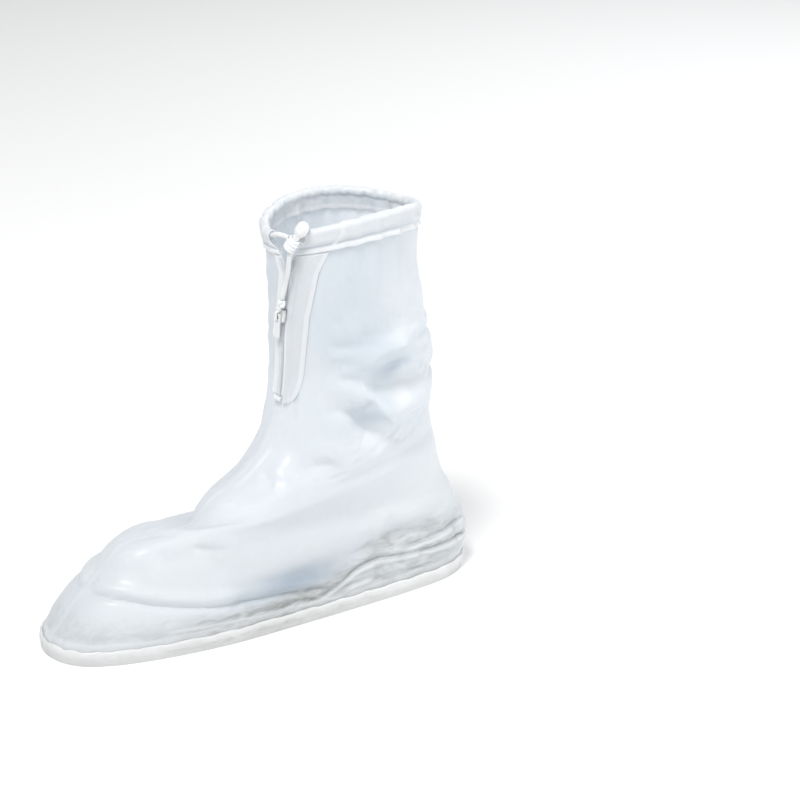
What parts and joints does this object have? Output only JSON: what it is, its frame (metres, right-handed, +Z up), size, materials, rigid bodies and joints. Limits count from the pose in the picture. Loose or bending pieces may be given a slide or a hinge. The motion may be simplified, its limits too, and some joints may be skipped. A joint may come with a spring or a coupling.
{
  "type": "rain boot cover",
  "caption": "Pull-on rain boot cover of frosted film with a flat sole, a zipped front opening and a drawstring hem with a cord lock.",
  "frame": {"origin": "on the ground under the middle of the sole", "axes": "+Z up, toe towards -Y, the wearer's inner side towards +X"},
  "size_m": [0.1147, 0.3396, 0.2913],
  "materials": {
    "film": "frosted translucent film",
    "doubled_film": "frosted translucent film, two layers welded",
    "sole": "moulded, fine grain",
    "cord": "braided polyester",
    "plastic": "moulded",
    "zip_tape": "woven tape with a plastic coil"
  },
  "bodies": {
    "boot": {"sole": "sole", "film_panel_inner": "film", "film_panel_outer": "film", "hem": "doubled_film", "gusset": "film", "placket": "doubled_film", "zip_half_inner": "zip_tape", "zip_half_outer": "zip_tape", "zip_slider": "plastic", "zip_stop": "plastic", "cord_lock_body": "plastic", "drawstring": "cord", "drawstring_tail": "cord", "drawstring_knot": "cord"},
    "pull": {"zip_pull": "plastic"},
    "button": {"cord_lock_button": "plastic"}
  },
  "joints": [
    {"name": "pull_swing", "type": "hinge", "parent": "boot", "child": "pull", "pos_m": [0.00889, 0.01016, 0.21513], "axis": [-0.9796, -0.1732, 0.1016], "range_deg": [0, 150]},
    {"name": "button_press", "type": "slide", "parent": "boot", "child": "button", "axis": [0.3811, 0.3811, 0.8424], "range_m": [-0.0035, 0], "stiffness_N_per_m": 400}
  ]
}
